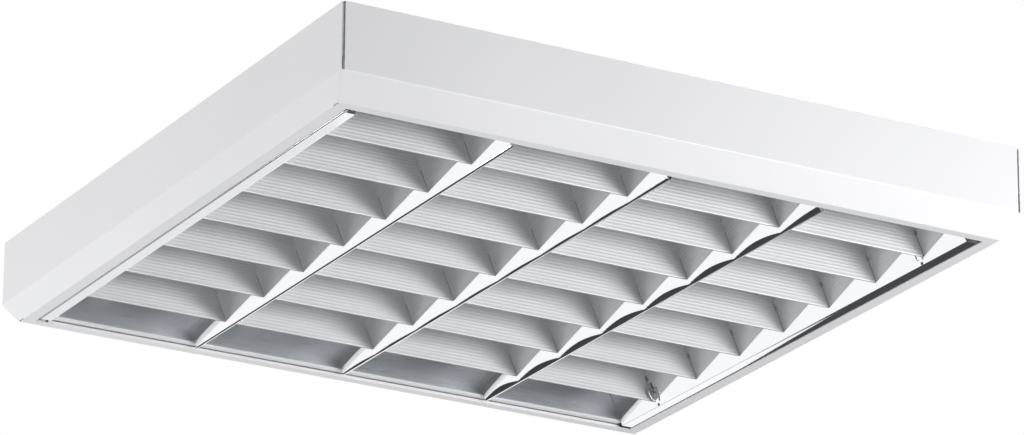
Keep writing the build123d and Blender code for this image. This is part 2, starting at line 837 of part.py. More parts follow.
with BuildPart() as catch_brackets:
    for catch_side in (-1, 1):
        ear_y = catch_side * catch_y + catch_ear_offset
        with BuildSketch(Plane.XY.offset(at(mirror_sheet))):
            with Locations((catch_x, ear_y + catch_base_width / 2)):
                Rectangle(2 * catch_ear_half, catch_base_width)
        extrude(amount=catch_ear_sheet)
        with BuildSketch(Plane.XZ.offset(-ear_y)):
            with Locations((catch_x, at((mirror_sheet + catch_height + catch_ear_half) / 2))):
                Rectangle(2 * catch_ear_half, catch_height + catch_ear_half - mirror_sheet)
            with Locations((catch_x, at(catch_height))):
                Circle(wire_radius + fit_gap, mode=Mode.SUBTRACT)
        extrude(amount=-catch_ear_sheet)
save(catch_brackets, "catch_brackets")

print("done")
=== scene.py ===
from math import radians

import bpy
import numpy as np
from mathutils import Matrix, Vector


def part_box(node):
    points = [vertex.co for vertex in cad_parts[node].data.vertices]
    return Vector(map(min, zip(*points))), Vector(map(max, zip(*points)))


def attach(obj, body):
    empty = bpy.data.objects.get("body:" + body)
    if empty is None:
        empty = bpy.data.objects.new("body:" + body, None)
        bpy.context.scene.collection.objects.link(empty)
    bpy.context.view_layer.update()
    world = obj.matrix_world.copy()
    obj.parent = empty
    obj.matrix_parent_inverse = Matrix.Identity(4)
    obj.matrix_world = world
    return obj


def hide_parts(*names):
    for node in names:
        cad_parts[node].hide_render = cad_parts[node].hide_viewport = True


# A square surface-mounted ceiling light, seen from below. Metres, +Z is up into the ceiling,
# the lamps lie along Y, and the louvre hangs from pins on its -X side.

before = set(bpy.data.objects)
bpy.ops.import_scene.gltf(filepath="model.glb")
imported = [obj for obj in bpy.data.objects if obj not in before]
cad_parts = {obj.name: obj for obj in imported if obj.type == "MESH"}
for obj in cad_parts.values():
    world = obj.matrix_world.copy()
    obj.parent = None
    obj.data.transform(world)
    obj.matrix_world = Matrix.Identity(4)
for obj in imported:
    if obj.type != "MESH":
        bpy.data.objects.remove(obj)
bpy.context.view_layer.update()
mm = 0.001


# meshes

creaseAngle = 28  # degrees between two faces, from which their shared edge is sharp


def unit(vectors):
    # every vector divided by its own length
    return vectors / np.linalg.norm(vectors, axis=-1, keepdims=True)


def roundedPath(corners, radius, steps=7):
    # a path through the corners, where each inner corner is an arc that touches both its runs;
    # an arc's points are the two radii at its ends, blended by sines of the angle between them
    corner = np.asarray(corners, float)
    back = unit(corner[:-2] - corner[1:-1])
    ahead = unit(corner[2:] - corner[1:-1])
    half = np.arccos(np.clip((back * ahead).sum(-1), -1, 1)) / 2
    size = np.broadcast_to(radius, half.shape)
    centre = corner[1:-1] + unit(back + ahead) * (size / np.sin(half))[:, None]
    run = (size / np.tan(half))[:, None]
    first = corner[1:-1] + back * run - centre
    last = corner[1:-1] + ahead * run - centre
    turn = (np.pi - 2 * half)[:, None, None]
    t = np.linspace(0, 1, steps)[None, :, None]
    arc = (np.sin((1 - t) * turn) * first[:, None] + np.sin(t * turn) * last[:, None]) / np.sin(turn)
    arc = (arc + centre[:, None]).reshape(-1, corner.shape[1])
    return np.concatenate([corner[:1], arc, corner[-1:]])


def offsetPath(path, distance):
    # a flat path moved sideways: each point goes along the bisector of its two runs,
    # further where the path turns, so that the sheet keeps its thickness
    way = unit(np.diff(path, axis=0))
    side = np.stack([-way[:, 1], way[:, 0]], 1)
    before = np.concatenate([side[:1], side])
    after = np.concatenate([side, side[-1:]])
    middle = before + after
    return path + distance * 2 * middle / (middle * middle).sum(1, keepdims=True)


def meshObject(name, points, faces, sharp=creaseAngle):
    # a mesh from whole arrays, turned right way out if its volume came out negative
    points = np.asarray(points, float).reshape(-1, 3)
    used, fresh = np.unique(np.concatenate([f.ravel() for f in faces]), return_inverse=True)
    points = points[used]
    sizes = np.repeat([f.shape[1] for f in faces], [len(f) for f in faces])
    corners = fresh.reshape(-1)
    starts = np.concatenate([[0], np.cumsum(sizes)[:-1]]).astype(np.int32)
    volume, place = 0.0, 0
    for f in faces:
        group = corners[place:place + f.size].reshape(f.shape)
        place += f.size
        for k in range(1, f.shape[1] - 1):
            a, b, c = points[group[:, 0]], points[group[:, k]], points[group[:, k + 1]]
            volume += (a * np.cross(b, c)).sum()
    if volume < 0:
        place, turned = 0, []
        for f in faces:
            turned.append(corners[place:place + f.size].reshape(f.shape)[:, ::-1].ravel())
            place += f.size
        corners = np.concatenate(turned)
    mesh = bpy.data.meshes.new(name)
    mesh.vertices.add(len(points))
    mesh.vertices.foreach_set("co", points.ravel())
    mesh.loops.add(len(corners))
    mesh.loops.foreach_set("vertex_index", corners.astype(np.int32))
    mesh.polygons.add(len(starts))
    mesh.polygons.foreach_set("loop_start", starts)
    mesh.update(calc_edges=True)
    mesh.validate()
    mesh.polygons.foreach_set("use_smooth", np.ones(len(starts), bool))
    mesh.set_sharp_from_angle(angle=radians(sharp))
    piece = bpy.data.objects.new(name, mesh)
    bpy.context.scene.collection.objects.link(piece)
    return piece


def sheetFaces(keep, start=0):
    # faces of a sheet made of two equal grids, one behind the other: both skins where a cell is
    # kept, and a rim wherever a kept cell has no kept neighbour
    rows, columns = keep.shape[0] + 1, keep.shape[1] + 1
    index = np.arange(rows * columns).reshape(rows, columns) + start
    behind = rows * columns
    a, b = index[:-1, :-1], index[1:, :-1]
    c, d = index[1:, 1:], index[:-1, 1:]
    edge = np.pad(keep, 1)
    faces = [np.stack([a, b, c, d], -1)[keep], np.stack([a, d, c, b], -1)[keep] + behind]
    rims = (
        (a, d, edge[:-2, 1:-1]),
        (c, b, edge[2:, 1:-1]),
        (b, a, edge[1:-1, :-2]),
        (d, c, edge[1:-1, 2:]),
    )
    for one, two, neighbour in rims:
        rim = np.stack([one, two, two + behind, one + behind], -1)
        faces.append(rim[keep & ~neighbour])
    return [np.concatenate(faces)]


def sheetPiece(name, outer, inner, keep=None, sharp=creaseAngle):
    # a closed sheet between an outer and an inner grid of points
    if keep is None:
        keep = np.ones((outer.shape[0] - 1, outer.shape[1] - 1), bool)
    points = np.concatenate([outer.reshape(-1, 3), inner.reshape(-1, 3)])
    return meshObject(name, points, sheetFaces(keep), sharp)


def ringFaces(count, sides, start, poles, loop):
    # faces of a stack of closed rings: bands between rings, then a fan at each end pole,
    # or one more band that joins the last ring to the first
    index = np.arange(count * sides).reshape(count, sides) + start
    if loop:
        index = np.concatenate([index, index[:1]])
    turned = np.roll(index, -1, axis=1)
    bands = np.stack([index[:-1], index[1:], turned[1:], turned[:-1]], -1).reshape(-1, 4)
    if loop:
        return bands, np.zeros((0, 3), int)
    low, high = poles
    lowFan = np.stack([np.full(sides, low), index[0], turned[0]], -1)
    highFan = np.stack([np.full(sides, high), turned[-1], index[-1]], -1)
    return bands, np.concatenate([lowFan, highFan])


def ringPiece(name, stacks, sharp=creaseAngle):
    # one or more closed solids, each a stack of rings of points; a stack marked as a loop is a
    # closed ring, any other ends in a pole at the middle of its first and its last ring
    points, bands, fans, start = [], [], [], 0
    for rings, loop in stacks:
        count, sides = rings.shape[:2]
        flat = rings.reshape(-1, 3)
        poles = (start + len(flat), start + len(flat) + 1)
        if not loop:
            flat = np.concatenate([flat, rings[:1].mean(1), rings[-1:].mean(1)])
        band, fan = ringFaces(count, sides, start, poles, loop)
        points.append(flat)
        bands.append(band)
        fans.append(fan)
        start += len(flat)
    faces = [np.concatenate(bands), np.concatenate(fans)]
    return meshObject(name, np.concatenate(points), [f for f in faces if len(f)], sharp)


def wireRings(path, radius, sides=12):
    # a round wire: circles square to the path, drawn in to a half ball at both ends, where each
    # circle's radius follows the ball's; the first circle stands a little off the ball's pole
    firstShare, ballRings = 0.12, 5
    aside = (0.55, 0.62, 0.56)  # a direction that no run of the wire takes
    step = np.linalg.norm(np.diff(path, axis=0), axis=1)
    along = np.concatenate([[0], np.cumsum(step)])
    ends = radius * (1 - np.cos(np.linspace(firstShare, 1, ballRings) * np.pi / 2))
    inside = along[(along > radius) & (along < along[-1] - radius)]
    place = np.concatenate([ends, inside, along[-1] - ends[::-1]])
    points = np.stack([np.interp(place, along, path[:, k]) for k in range(3)], 1)
    near = np.minimum(place, along[-1] - place)
    size = radius * np.sqrt(1 - np.clip(1 - near / radius, 0, 1) ** 2)
    way = unit(np.gradient(points, axis=0))
    one = unit(np.cross(way, aside))
    two = np.cross(way, one)
    angle = np.linspace(0, 2 * np.pi, sides, endpoint=False)[None, :, None]
    circle = np.cos(angle) * one[:, None] + np.sin(angle) * two[:, None]
    return points[:, None] + size[:, None, None] * circle


def turnedRings(profile, centre, axis, sides):
    # a turned part: a circle round the axis for each point of the profile, which is
    # (radius, distance along the axis)
    aside = (0.3, 0.5, 0.8)  # not along any axis in use
    profile = np.asarray(profile, float)
    axis = np.asarray(axis, float)
    one = unit(np.cross(axis, aside))
    two = np.cross(axis, one)
    angle = np.linspace(0, 2 * np.pi, sides, endpoint=False)
    circle = np.cos(angle)[:, None] * one + np.sin(angle)[:, None] * two
    return np.asarray(centre) + profile[:, :1, None] * circle + (profile[:, 1:] * axis)[:, None]


# where things are, read from the frame

def low(node):
    return np.array(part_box(node)[0])


def high(node):
    return np.array(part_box(node)[1])


def gridPoints(x, y, height):
    # a grid of points from its X, its Y and its height above the light's lower face
    return np.stack(np.broadcast_arrays(x, y, lowerFace + height), -1)


lowerFace = low("housing_tray")[2]
separators = [f"separator_{i}" for i in (1, 2, 3)]
blades = [f"blade_{i}" for i in range(1, 8)]
separatorX = np.array([(low(n)[0] + high(n)[0]) / 2 for n in separators])
bladeY = np.array([(low(n)[1] + high(n)[1]) / 2 for n in blades])
louvreEnd = high("separator_2")[1]
louvreTop = high("separator_2")[2] - lowerFace
separatorHalf = high("separator_2")[0]
bladeTop = high("blade_4")[2] - lowerFace
bladeHalf = high("blade_4")[0]
lampNumbers = (1, 2, 3, 4)


# shared effects of the materials

def newGroup(name, inputs, outputs):
    # a shader node group with its own named sockets
    group = bpy.data.node_groups.new(name, "ShaderNodeTree")
    for label, kind, value in inputs:
        socket = group.interface.new_socket(label, in_out="INPUT", socket_type=kind)
        socket.default_value = value
    for label, kind in outputs:
        group.interface.new_socket(label, in_out="OUTPUT", socket_type=kind)
    start = addNode(group, "NodeGroupInput", (-900, 0))
    end = addNode(group, "NodeGroupOutput", (500, 0))
    return group, start, end


def addNode(tree, kind, place, **values):
    # a node at its place in the editor, with its own settings
    node = tree.nodes.new(kind)
    node.location = place
    for name, value in values.items():
        setattr(node, name, value)
    return node


def setSockets(node, **values):
    # socket values by name, with underscores for blanks
    for name, value in values.items():
        node.inputs[name.replace("_", " ")].default_value = value


def makePeel():
    # powder coat: a fine soft noise gives the peel's height, a wider one gives faint tone
    group, start, end = newGroup(
        "powderPeel",
        [("Scale", "NodeSocketFloat", 900.0), ("Tone Scale", "NodeSocketFloat", 5.0)],
        [("Height", "NodeSocketFloat"), ("Tone", "NodeSocketFloat")],
    )
    where = addNode(group, "ShaderNodeTexCoord", (-900, 300))
    fine = addNode(group, "ShaderNodeTexNoise", (-500, 200))
    wide = addNode(group, "ShaderNodeTexNoise", (-500, -100))
    setSockets(fine, Detail=2.0, Roughness=0.5)
    setSockets(wide, Detail=3.0, Roughness=0.6)
    for node, size in ((fine, "Scale"), (wide, "Tone Scale")):
        group.links.new(where.outputs["Object"], node.inputs["Vector"])
        group.links.new(start.outputs[size], node.inputs["Scale"])
    group.links.new(fine.outputs["Fac"], end.inputs["Height"])
    group.links.new(wide.outputs["Fac"], end.inputs["Tone"])
    return group


def makeGrain():
    # rolled sheet: noise drawn out along one axis, plus slow waves in the sheet
    group, start, end = newGroup(
        "rolledGrain",
        [
            ("Stretch", "NodeSocketVector", (1.0, 0.01, 1.0)),
            ("Scale", "NodeSocketFloat", 2500.0),
            ("Wave Scale", "NodeSocketFloat", 18.0),
        ],
        [("Grain", "NodeSocketFloat"), ("Wave", "NodeSocketFloat")],
    )
    where = addNode(group, "ShaderNodeTexCoord", (-900, 300))
    drawn = addNode(group, "ShaderNodeVectorMath", (-650, 200), operation="MULTIPLY")
    lines = addNode(group, "ShaderNodeTexNoise", (-400, 200))
    waves = addNode(group, "ShaderNodeTexNoise", (-400, -100))
    setSockets(lines, Detail=3.0, Roughness=0.65)
    setSockets(waves, Detail=1.0, Roughness=0.4)
    group.links.new(where.outputs["Object"], drawn.inputs[0])
    group.links.new(start.outputs["Stretch"], drawn.inputs[1])
    group.links.new(drawn.outputs[0], lines.inputs["Vector"])
    group.links.new(start.outputs["Scale"], lines.inputs["Scale"])
    group.links.new(where.outputs["Object"], waves.inputs["Vector"])
    group.links.new(start.outputs["Wave Scale"], waves.inputs["Scale"])
    group.links.new(lines.outputs["Fac"], end.inputs["Grain"])
    group.links.new(waves.outputs["Fac"], end.inputs["Wave"])
    return group


def makeSatinFoot():
    # the folded foot of a sheet is matt: a mask that is 1 below a height and falls evenly to 0
    # over the softness above it
    group, start, end = newGroup(
        "satinFoot",
        [("Height", "NodeSocketFloat", 0.0), ("Softness", "NodeSocketFloat", 0.0006)],
        [("Mask", "NodeSocketFloat")],
    )
    where = addNode(group, "ShaderNodeTexCoord", (-900, 300))
    parts = addNode(group, "ShaderNodeSeparateXYZ", (-650, 300))
    rise = addNode(group, "ShaderNodeMath", (-400, 200), operation="SUBTRACT")
    share = addNode(group, "ShaderNodeMath", (-200, 200), operation="DIVIDE")
    mask = addNode(group, "ShaderNodeMath", (100, 200), operation="SUBTRACT", use_clamp=True)
    mask.inputs[0].default_value = 1.0
    group.links.new(where.outputs["Object"], parts.inputs[0])
    group.links.new(parts.outputs["Z"], rise.inputs[0])
    group.links.new(start.outputs["Height"], rise.inputs[1])
    group.links.new(rise.outputs[0], share.inputs[0])
    group.links.new(start.outputs["Softness"], share.inputs[1])
    group.links.new(share.outputs[0], mask.inputs[1])
    group.links.new(mask.outputs[0], end.inputs["Mask"])
    return group


peelGroup = makePeel()
grainGroup = makeGrain()
footGroup = makeSatinFoot()
noiseRange = (0.3, 0.7)  # nearly all values of a noise lie between these
mixSockets = {"RGBA": (6, 7, 2), "FLOAT": (2, 3, 0)}  # A, B and Result of a Mix node, by its kind


def newMaterial(name, **values):
    # a material with its shader, whose constant values sit on the shader's own sockets
    material = bpy.data.materials.new(name)
    material.use_nodes = True
    tree = material.node_tree
    shader = tree.nodes["Principled BSDF"]
    setSockets(shader, **values)
    return material, tree, shader


def blend(tree, place, kind, fac, first, second):
    # goes from the first value to the second by a mask; each is a constant or a node's output
    mix = addNode(tree, "ShaderNodeMix", place, data_type=kind)
    tree.links.new(fac, mix.inputs[0])
    firstSocket, secondSocket, result = mixSockets[kind]
    for index, value in ((firstSocket, first), (secondSocket, second)):
        if isinstance(value, bpy.types.NodeSocket):
            tree.links.new(value, mix.inputs[index])
        else:
            mix.inputs[index].default_value = value
    return mix.outputs[result]


def ranged(tree, place, value, lowest, highest):
    # stretches a noise to the range that a socket wants
    node = addNode(tree, "ShaderNodeMapRange", place)
    setSockets(node, From_Min=noiseRange[0], From_Max=noiseRange[1], To_Min=lowest, To_Max=highest)
    tree.links.new(value, node.inputs["Value"])
    return node.outputs["Result"]


def bumpFrom(tree, shader, height, strength, distance):
    # tilts the shader's normal by a height
    bump = addNode(tree, "ShaderNodeBump", (-250, -350))
    setSockets(bump, Strength=strength, Distance=distance)
    tree.links.new(height, bump.inputs["Height"])
    tree.links.new(bump.outputs["Normal"], shader.inputs["Normal"])


def colorAndGloss(tree, shader, tone, texture, values):
    # the tone goes from the shade to the colour, and the texture through the roughness
    share = ranged(tree, (-650, 200), tone, 0, 1)
    color = blend(tree, (-400, 250), "RGBA", share, (*values["shade"], 1), (*values["color"], 1))
    rough = ranged(tree, (-650, -50), texture, *values["roughness"])
    tree.links.new(color, shader.inputs["Base Color"])
    tree.links.new(rough, shader.inputs["Roughness"])
    return color, rough


def coatedSurface(name, values):
    # paint or moulded plastic: a faint cloudiness in the colour, and a fine texture in the gloss
    # and the normal
    material, tree, shader = newMaterial(name, Specular_IOR_Level=values["gloss"])
    peel = addNode(tree, "ShaderNodeGroup", (-900, 0), node_tree=peelGroup)
    setSockets(peel, Scale=values["textureScale"], Tone_Scale=values["toneScale"])
    colorAndGloss(tree, shader, peel.outputs["Tone"], peel.outputs["Height"], values)
    bumpFrom(tree, shader, peel.outputs["Height"], values["bump"], values["bumpHeight"])
    return material


def rolledMetal(name, values):
    # bright rolled metal: grain along the sheet in colour, gloss and normal, and slow waves in the
    # normal alone; where the values name a foot, the sheet is matt below that height
    material, tree, shader = newMaterial(name, Metallic=1.0)
    grain = addNode(tree, "ShaderNodeGroup", (-900, 0), node_tree=grainGroup)
    setSockets(grain, Stretch=values["stretch"], Scale=values["grainScale"],
               Wave_Scale=values["waveScale"])
    lines = grain.outputs["Grain"]
    color, rough = colorAndGloss(tree, shader, lines, lines, values)
    height = addNode(tree, "ShaderNodeMath", (-450, -300), operation="MULTIPLY_ADD")
    height.inputs[1].default_value = values["wave"]
    tree.links.new(grain.outputs["Wave"], height.inputs[0])
    tree.links.new(lines, height.inputs[2])
    bumpFrom(tree, shader, height.outputs[0], values["bump"], 0.1 * mm)
    if "foot" in values:
        foot = addNode(tree, "ShaderNodeGroup", (-900, 400), node_tree=footGroup)
        setSockets(foot, Height=values["foot"], Softness=values["footSoftness"])
        mattColor, mattRoughness = (*values["footColor"], 1), values["footRoughness"]
        for socket, kind, bright, matt, row in (
            ("Base Color", "RGBA", color, mattColor, 400),
            ("Metallic", "FLOAT", 1.0, 0.0, 200),
            ("Roughness", "FLOAT", rough, mattRoughness, 0),
        ):
            value = blend(tree, (-200, row), kind, foot.outputs["Mask"], bright, matt)
            tree.links.new(value, shader.inputs[socket])
    return material


housingPaint = coatedSurface("housingPaint", {
    "color": (0.87, 0.872, 0.885), "shade": (0.845, 0.847, 0.862), "roughness": (0.36, 0.46),
    "gloss": 0.45, "toneScale": 4.0, "textureScale": 700.0, "bump": 0.10, "bumpHeight": 0.2 * mm,
})
mirrorSheet = rolledMetal("mirrorSheet", {
    "color": (0.95, 0.955, 0.965), "shade": (0.92, 0.925, 0.94), "roughness": (0.02, 0.05),
    "stretch": (1.0, 0.004, 1.0), "grainScale": 3000.0, "waveScale": 14.0, "wave": 0.0,
    "bump": 0.02,
})
# the end plates' sheet: its darker, bluer grey than the reflectors' mirror is a painted reflection of
# the shaded blade backs and housing inside that these plates face
endSheet = rolledMetal("endSheet", {
    "color": (0.61, 0.635, 0.67), "shade": (0.59, 0.615, 0.65), "roughness": (0.27, 0.30),
    "stretch": (0.02, 1.0, 1.0), "grainScale": 1500.0, "waveScale": 14.0, "wave": 0.0,
    "bump": 0.005, "foot": lowerFace + 4.4 * mm, "footSoftness": 0.6 * mm,
    "footColor": (0.80, 0.805, 0.815), "footRoughness": 0.55,
})
ribbedBlade = rolledMetal("ribbedBlade", {
    "color": (0.675, 0.685, 0.695), "shade": (0.635, 0.645, 0.655), "roughness": (0.60, 0.68),
    "stretch": (0.006, 1.0, 1.0), "grainScale": 2600.0, "waveScale": 20.0, "wave": 0.0,
    "bump": 0.03,
})
zincSteel = rolledMetal("zincSteel", {
    "color": (0.62, 0.63, 0.64), "shade": (0.50, 0.51, 0.53), "roughness": (0.28, 0.42),
    "stretch": (1.0, 1.0, 1.0), "grainScale": 220.0, "waveScale": 90.0, "wave": 0.3, "bump": 0.06,
})
springSteel = rolledMetal("springSteel", {
    "color": (0.66, 0.66, 0.67), "shade": (0.55, 0.55, 0.56), "roughness": (0.18, 0.28),
    "stretch": (1.0, 1.0, 1.0), "grainScale": 900.0, "waveScale": 60.0, "wave": 0.2, "bump": 0.04,
})
capMetal = rolledMetal("capMetal", {
    "color": (0.78, 0.78, 0.79), "shade": (0.70, 0.70, 0.72), "roughness": (0.22, 0.34),
    "stretch": (1.0, 0.05, 1.0), "grainScale": 1200.0, "waveScale": 60.0, "wave": 0.2, "bump": 0.04,
})
moulded = {"gloss": 0.5, "toneScale": 40.0, "bumpHeight": 0.1 * mm}
holderPlastic = coatedSurface("holderPlastic", moulded | {
    "color": (0.80, 0.80, 0.78), "shade": (0.77, 0.77, 0.75), "roughness": (0.32, 0.42),
    "textureScale": 1500.0, "bump": 0.10,
})
rotorPlastic = coatedSurface("rotorPlastic", moulded | {
    "color": (0.72, 0.73, 0.72), "shade": (0.69, 0.70, 0.69), "roughness": (0.30, 0.40),
    "textureScale": 1500.0, "bump": 0.10,
})
terminalPlastic = coatedSurface("terminalPlastic", moulded | {
    "color": (0.60, 0.61, 0.60), "shade": (0.56, 0.57, 0.56), "roughness": (0.35, 0.45),
    "textureScale": 1200.0, "bump": 0.12,
})
grommetRubber = coatedSurface("grommetRubber", moulded | {
    "color": (0.72, 0.72, 0.71), "shade": (0.68, 0.68, 0.67), "roughness": (0.55, 0.70),
    "textureScale": 900.0, "bump": 0.25,
})
lampGlass = coatedSurface("lampGlass", moulded | {
    "color": (0.88, 0.885, 0.87), "shade": (0.865, 0.87, 0.86), "roughness": (0.09, 0.12),
    "textureScale": 60.0, "bump": 0.0,
})

# the finish of a CAD piece, by the word that its own material's name holds
cadFinishes = {
    "housing_paint": housingPaint,
    "mirror_sheet": endSheet,
    "ribbed_blade": ribbedBlade,
    "zinc_plate": zincSteel,
    "spring_wire": springSteel,
    "ballast_case": zincSteel,
    "terminal_plastic": terminalPlastic,
    "grommet_rubber": grommetRubber,
    "holder_plastic": holderPlastic,
    "rotor_plastic": rotorPlastic,
    "lamp_glass": lampGlass,
    "cap_metal": capMetal,
}
print("materials made")


def dress(piece, body, slotName, material, *nodes):
    # rides on its body, stands for its nodes and takes its finish
    piece.data.materials.append(material)
    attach(piece, body)
    if nodes:
        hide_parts(*nodes)


# the louvre's reflectors

reflector = {
    "sheet": 0.5 * mm,
    "tipRadius": 2.0 * mm,
    "slope": 0.47,  # spread for each unit of height at the lower edge
    "interlock": 21.0 * mm,  # slots for the blades start here
    "topReturn": 3.0 * mm,
    "topBend": 0.9 * mm,
    "stripInner": 271.4 * mm,
    "stripReturn": 3.0 * mm,
    "stripBend": 0.8 * mm,
    "stripFold": 0.35 * mm,
    "stripBow": 0.08 * mm,
    "fit": 0.15 * mm,
    # the bright lower edge of each separator: its height at the blades, and how much more in
    # the middle of a cell
    "edgeWave": ((-0.4 * mm, 0.0), (0.7 * mm, 0.7 * mm), (0.9 * mm, 3.2 * mm)),
    "edgeSoft": 0.3 * mm,
    "edgeLean": 1.9,
    "edgeSide": 0.05 * mm,  # it starts this far to the -X side of the middle
    "edgeFacing": -0.05,  # and where the surface faces down by more than this
    # rows of the grid: round the tip, up to fineHeight, up to the interlock, up to the top fold
    "rows": (14, 16, 18, 16),
    "fineHeight": 4.6 * mm,
    "stripRows": 12,
    "stepsPerCell": 14,
}
catch = {
    "x": 276.0 * mm,
    "y": 204.0 * mm,
    "height": 25.4 * mm,
    "wire": 0.8 * mm,
    "bend": 1.6 * mm,
    "pin": 5.0 * mm,
    "window": (10.4 * mm, 18.6 * mm, 3.2 * mm),  # from, to and width of its opening
    # each bend of the wire from its pivot, in mm: across, up
    "bends": ((0, 0), (9.5, -21.8), (5.0, -23.3), (0.5, -22.8), (-9.0, -12.5), (-18.0, -12.0),
              (-12.5, -20.0), (-9.6, -22.6)),
}
blade = {
    "sheet": 0.4 * mm,
    "tipRadius": 0.9 * mm,
    "bottom": 4.5 * mm,
    "lean": 0.06,
    "ribPitch": 2.75 * mm,
    "ribDepth": 0.065 * mm,
    "pointsPerRib": 8,
    "stepsPerCell": 8,
}
tipAngle = np.arctan(reflector["slope"])
tipReach = reflector["tipRadius"] * np.cos(tipAngle)
tipRise = reflector["tipRadius"] * (1 - np.sin(tipAngle))
flankRise = louvreTop - tipRise
# how fast the flank turns upright, so that it ends at the separators' own half width
curl = (tipReach + reflector["slope"] * flankRise - separatorHalf) / flankRise**2


def reachAt(height):
    # half width of a reflector: a parabola that starts where the rounded tip ends
    rise = height - tipRise
    return tipReach + reflector["slope"] * rise - curl * rise**2


def bladeHalfAt(height):
    # half width of a blade, which leans out evenly from its own tip
    return blade["tipRadius"] + blade["lean"] * (height - blade["bottom"] - blade["tipRadius"])


def legSection():
    # from the middle of the tip out and up to the folded top edge, as (spread, height): an arc,
    # then the parabola, then a rounded fold
    r, (tipRows, fineRows, lowerRows, upperRows) = reflector["tipRadius"], reflector["rows"]
    turn = np.linspace(0, np.pi / 2 - tipAngle, tipRows)
    arc = np.stack([r * np.sin(turn), r * (1 - np.cos(turn))], 1)
    fine, interlock = reflector["fineHeight"], reflector["interlock"]
    foldStart = louvreTop - 2.5 * reflector["topBend"]
    heights = np.concatenate([
        np.linspace(tipRise, fine, fineRows)[1:],
        np.linspace(fine, interlock, lowerRows)[1:],
        np.linspace(interlock, foldStart, upperRows)[1:],
    ])
    flank = np.stack([reachAt(heights), heights], 1)
    top = (reachAt(louvreTop), louvreTop)
    back = (reachAt(louvreTop) - reflector["topReturn"], louvreTop)
    fold = roundedPath([flank[-1], top, back], reflector["topBend"], 5)[1:]
    return np.concatenate([arc, flank, fold])


def dividedLines(edges, perCell, perSlot=2):
    # the lines of a grid from its edges, each (place at every height, kind of the span after it),
    # where 0 is a cell, 1 a slot and 2 a window; every span is divided evenly, cells into more
    # columns than the rest; returns the lines and each column's kind
    kinds = [e[1] for e in edges[:-1]]
    values = np.stack([e[0] for e in edges], 1)
    lines, columns = [values[:, :1]], []
    for i, kind in enumerate(kinds):
        count = perSlot if kind else perCell
        t = np.linspace(0, 1, count + 1)[1:]
        lines.append(values[:, i:i + 1] * (1 - t) + values[:, i + 1:i + 2] * t)
        columns += [kind] * count
    return np.concatenate(lines, 1), np.array(columns)


def cellLines(heights, windows=()):
    # Y of the grid's lines at each height: they follow the edges of the blades' slots, which
    # widen upwards
    half = bladeHalfAt(np.maximum(heights, reflector["interlock"])) + reflector["fit"]
    edges = [(-louvreEnd * np.ones_like(half), 0)]
    for y in bladeY:
        edges += [(y - half, 1), (y + half, 0)]
    edges.append((louvreEnd * np.ones_like(half), 0))
    for start, kind in windows:
        edges.append((start * np.ones_like(half), kind))
    edges.sort(key=lambda e: e[0][0])
    return dividedLines(edges, reflector["stepsPerCell"])


def leanTowardsFloor(piece, center, number):
    # the rolled lower edge of a separator shines downwards: on its -X side the normals lean
    # towards the floor below a wavy line, which is highest in the middle of each cell and at the
    # near end, and lowest at the blades
    mesh = piece.data
    count = len(mesh.loops)
    corner = np.empty(count, np.int32)
    mesh.loops.foreach_get("vertex_index", corner)
    place = np.empty(len(mesh.vertices) * 3)
    mesh.vertices.foreach_get("co", place)
    place = place.reshape(-1, 3)[corner]
    normal = np.empty(count * 3, np.float32)
    mesh.corner_normals.foreach_get("vector", normal)
    normal = normal.reshape(-1, 3)
    stops = np.concatenate([[-2 * louvreEnd - bladeY[0]], bladeY, [louvreEnd]])
    cell = np.clip(np.searchsorted(stops, place[:, 1]) - 1, 0, len(stops) - 2)
    along = np.clip((place[:, 1] - stops[cell]) / (stops[cell + 1] - stops[cell]), 0, 1)
    foot, swell = reflector["edgeWave"][number - 1]
    line = foot + swell * np.sin(np.pi * along)
    share = np.clip((line - (place[:, 2] - lowerFace)) / reflector["edgeSoft"] + 0.5, 0, 1)
    share *= place[:, 0] < center - reflector["edgeSide"]
    share *= normal[:, 2] < reflector["edgeFacing"]
    normal = unit(normal + share[:, None] * np.array([0, 0, -reflector["edgeLean"]]))
    mesh.normals_split_custom_set(normal.tolist())


def sweptSheet(name, section, sheet, windows=(), opened=None, center=0.0):
    # a folded section of (x, height) carried along Y, with the blades' slots left open above the
    # interlock, and the windows in the rows marked as opened
    lines, kinds = cellLines(section[:, 1], windows)
    outer, inner = (
        gridPoints(center + s[:, :1], lines, s[:, 1:])
        for s in (section, offsetPath(section, sheet))
    )
    middle = (section[1:, 1] + section[:-1, 1]) / 2
    gone = (middle[:, None] > reflector["interlock"]) & (kinds[None] == 1)
    if opened is not None:
        gone |= opened[:, None] & (kinds[None] == 2)
    return sheetPiece(name, outer, inner, ~gone)


leg = legSection()
whole = np.concatenate([leg[::-1] * (-1, 1), leg[1:]])
for number, (node, x) in enumerate(zip(separators, separatorX), start=1):
    piece = sweptSheet(f"separatorMirror{number}", whole, reflector["sheet"], center=x)
    leanTowardsFloor(piece, x, number)
    dress(piece, "louvre", "mirror_sheet", mirrorSheet, node)


def sideSection(stripOuter, bow):
    # from the top of the strip's upturned edge down, in along the strip and up the flank; a
    # parabola lifts the strip's two edges by the bow, so that its middle hangs lowest
    flank = leg[leg[:, 1] > 2 * tipRise] * (-1, 1) + (reflector["stripInner"], 0)
    inside = flank[0, 0] + reflector["slope"] * flank[0, 1]
    corners = [(stripOuter, reflector["stripReturn"]), (stripOuter, 0), (inside, 0), flank[0]]
    steps = 6
    strip = roundedPath(corners, (reflector["stripBend"], reflector["stripFold"]), steps)
    flat = np.linspace(strip[steps], strip[steps + 1], reflector["stripRows"])
    strip = np.concatenate([strip[:steps], flat, strip[steps + 2:-1]])
    across = np.clip((strip[:, 0] - flat[-1, 0]) / (stripOuter - flat[-1, 0]), 0, 1)
    strip[:, 1] += bow * (2 * across - 1) ** 2 * (across > 0)
    return np.concatenate([strip, flank]), len(strip)


